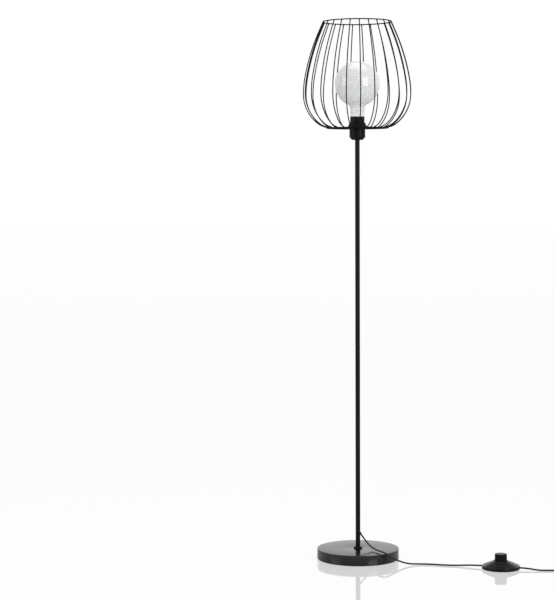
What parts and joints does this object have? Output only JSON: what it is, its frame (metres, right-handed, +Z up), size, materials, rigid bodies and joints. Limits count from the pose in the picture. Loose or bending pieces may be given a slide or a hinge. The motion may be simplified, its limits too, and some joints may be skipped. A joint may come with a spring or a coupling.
{
  "type": "wire cage floor lamp",
  "caption": "Floor lamp with a round weighted base, slim pole, open wire cage shade round an opal globe bulb, and a foot switch on its cord.",
  "frame": {"origin": "centre of the base's underside, on the floor", "axes": "+Z up the pole to the bulb, +X towards the side where the cord and foot switch lie, front faces -Y"},
  "size_m": [0.7927, 0.3342, 1.4932],
  "materials": {
    "black_gloss_plastic": "black moulded plastic, smooth",
    "black_pad": "thin black foam rubber",
    "black_plastic": "black moulded plastic, satin",
    "black_powder_coat": "black powder coat, satin",
    "board": "white coated aluminium board",
    "cap_insulator": "black glazed insulator",
    "cement": "cast cement, rough",
    "cord_black": "black flexible cord jacket, matt",
    "driver": "green circuit board",
    "led_phosphor": "yellow phosphor chip",
    "light_insulator": "cream moulded insulator",
    "nickel_shell": "nickel plated sheet",
    "opal": "opal glass, gloss outside",
    "raw_brass": "plain brass",
    "spring_steel": "bright spring wire",
    "white_plastic": "white plastic, satin",
    "wire_jacket": "coloured wire insulation",
    "zinc_steel": "zinc plated steel"
  },
  "bodies": {
    "lamp": {"base_pad": "black_pad", "base_bottom_plate": "zinc_steel", "base_weight": "cement", "base_cover": "black_powder_coat", "base_stud": "zinc_steel", "base_washer": "zinc_steel", "base_lock_washer": "spring_steel", "base_nut": "zinc_steel", "pole_foot_collar": "black_powder_coat", "pole_lower": "black_powder_coat", "pole_middle": "black_powder_coat", "pole_upper": "black_powder_coat", "pole_stud_lower": "zinc_steel", "pole_stud_upper": "zinc_steel", "cable_bush": "black_plastic", "cable_in_pole": "cord_black", "holder_stud": "zinc_steel", "holder_cap": "black_plastic", "holder_lock_screw": "zinc_steel", "holder_insulator": "light_insulator", "holder_terminals": "raw_brass", "holder_terminal_screws": "zinc_steel", "holder_leads": "wire_jacket", "holder_centre_contact": "raw_brass", "holder_screw_shell": "nickel_shell", "holder_sleeve": "black_plastic", "shade_ring": "black_plastic", "cage_top_ring": "black_powder_coat", "cage_bottom_ring": "black_powder_coat", "cage_ribs": "black_powder_coat", "cage_arms": "black_powder_coat", "cage_centre_ring": "black_powder_coat", "switch_feet": "black_pad", "switch_base_plate": "black_plastic", "switch_cover": "black_gloss_plastic", "switch_cover_screws": "zinc_steel", "switch_spring": "spring_steel", "switch_module": "light_insulator", "switch_fixed_contacts": "raw_brass", "switch_terminals": "raw_brass", "switch_terminal_screws": "zinc_steel", "switch_cord_clamps": "black_plastic", "switch_clamp_screws": "zinc_steel", "switch_cable_ends": "cord_black", "cord_to_switch": "cord_black", "cord_after_switch": "cord_black", "cord_coil": "cord_black", "plug_strain_relief": "cord_black", "plug_body": "black_plastic", "plug_pins": "nickel_shell"},
    "bulb_lifter": {"bulb_insulator": "cap_insulator", "bulb_contact": "raw_brass"},
    "bulb": {"bulb_screw_cap": "nickel_shell", "bulb_collar": "white_plastic", "bulb_globe": "opal", "bulb_led_board": "board", "bulb_leds": "led_phosphor", "bulb_driver_board": "driver"},
    "foot_button": {"switch_button": "black_gloss_plastic", "switch_contact_bridge": "raw_brass"}
  },
  "joints": [
    {"name": "bulb_lift", "type": "slide", "parent": "lamp", "child": "bulb_lifter", "axis": [0, 0, 1], "range_m": [0, 0.01815]},
    {"name": "bulb_turn", "type": "hinge", "parent": "bulb_lifter", "child": "bulb", "pos_m": [0, 0, 1.2313], "axis": [0, 0, 1], "range_deg": [0, 1800]},
    {"name": "button_press", "type": "slide", "parent": "lamp", "child": "foot_button", "axis": [0, 0, -1], "range_m": [0, 0.004], "stiffness_N_per_m": 1500, "springref_m": -0.004, "deforming": ["switch_spring"]}
  ],
  "couplings": [
    {"joint": "bulb_lift", "follows": "bulb_turn", "m_per_rad": 0.00057757}
  ]
}
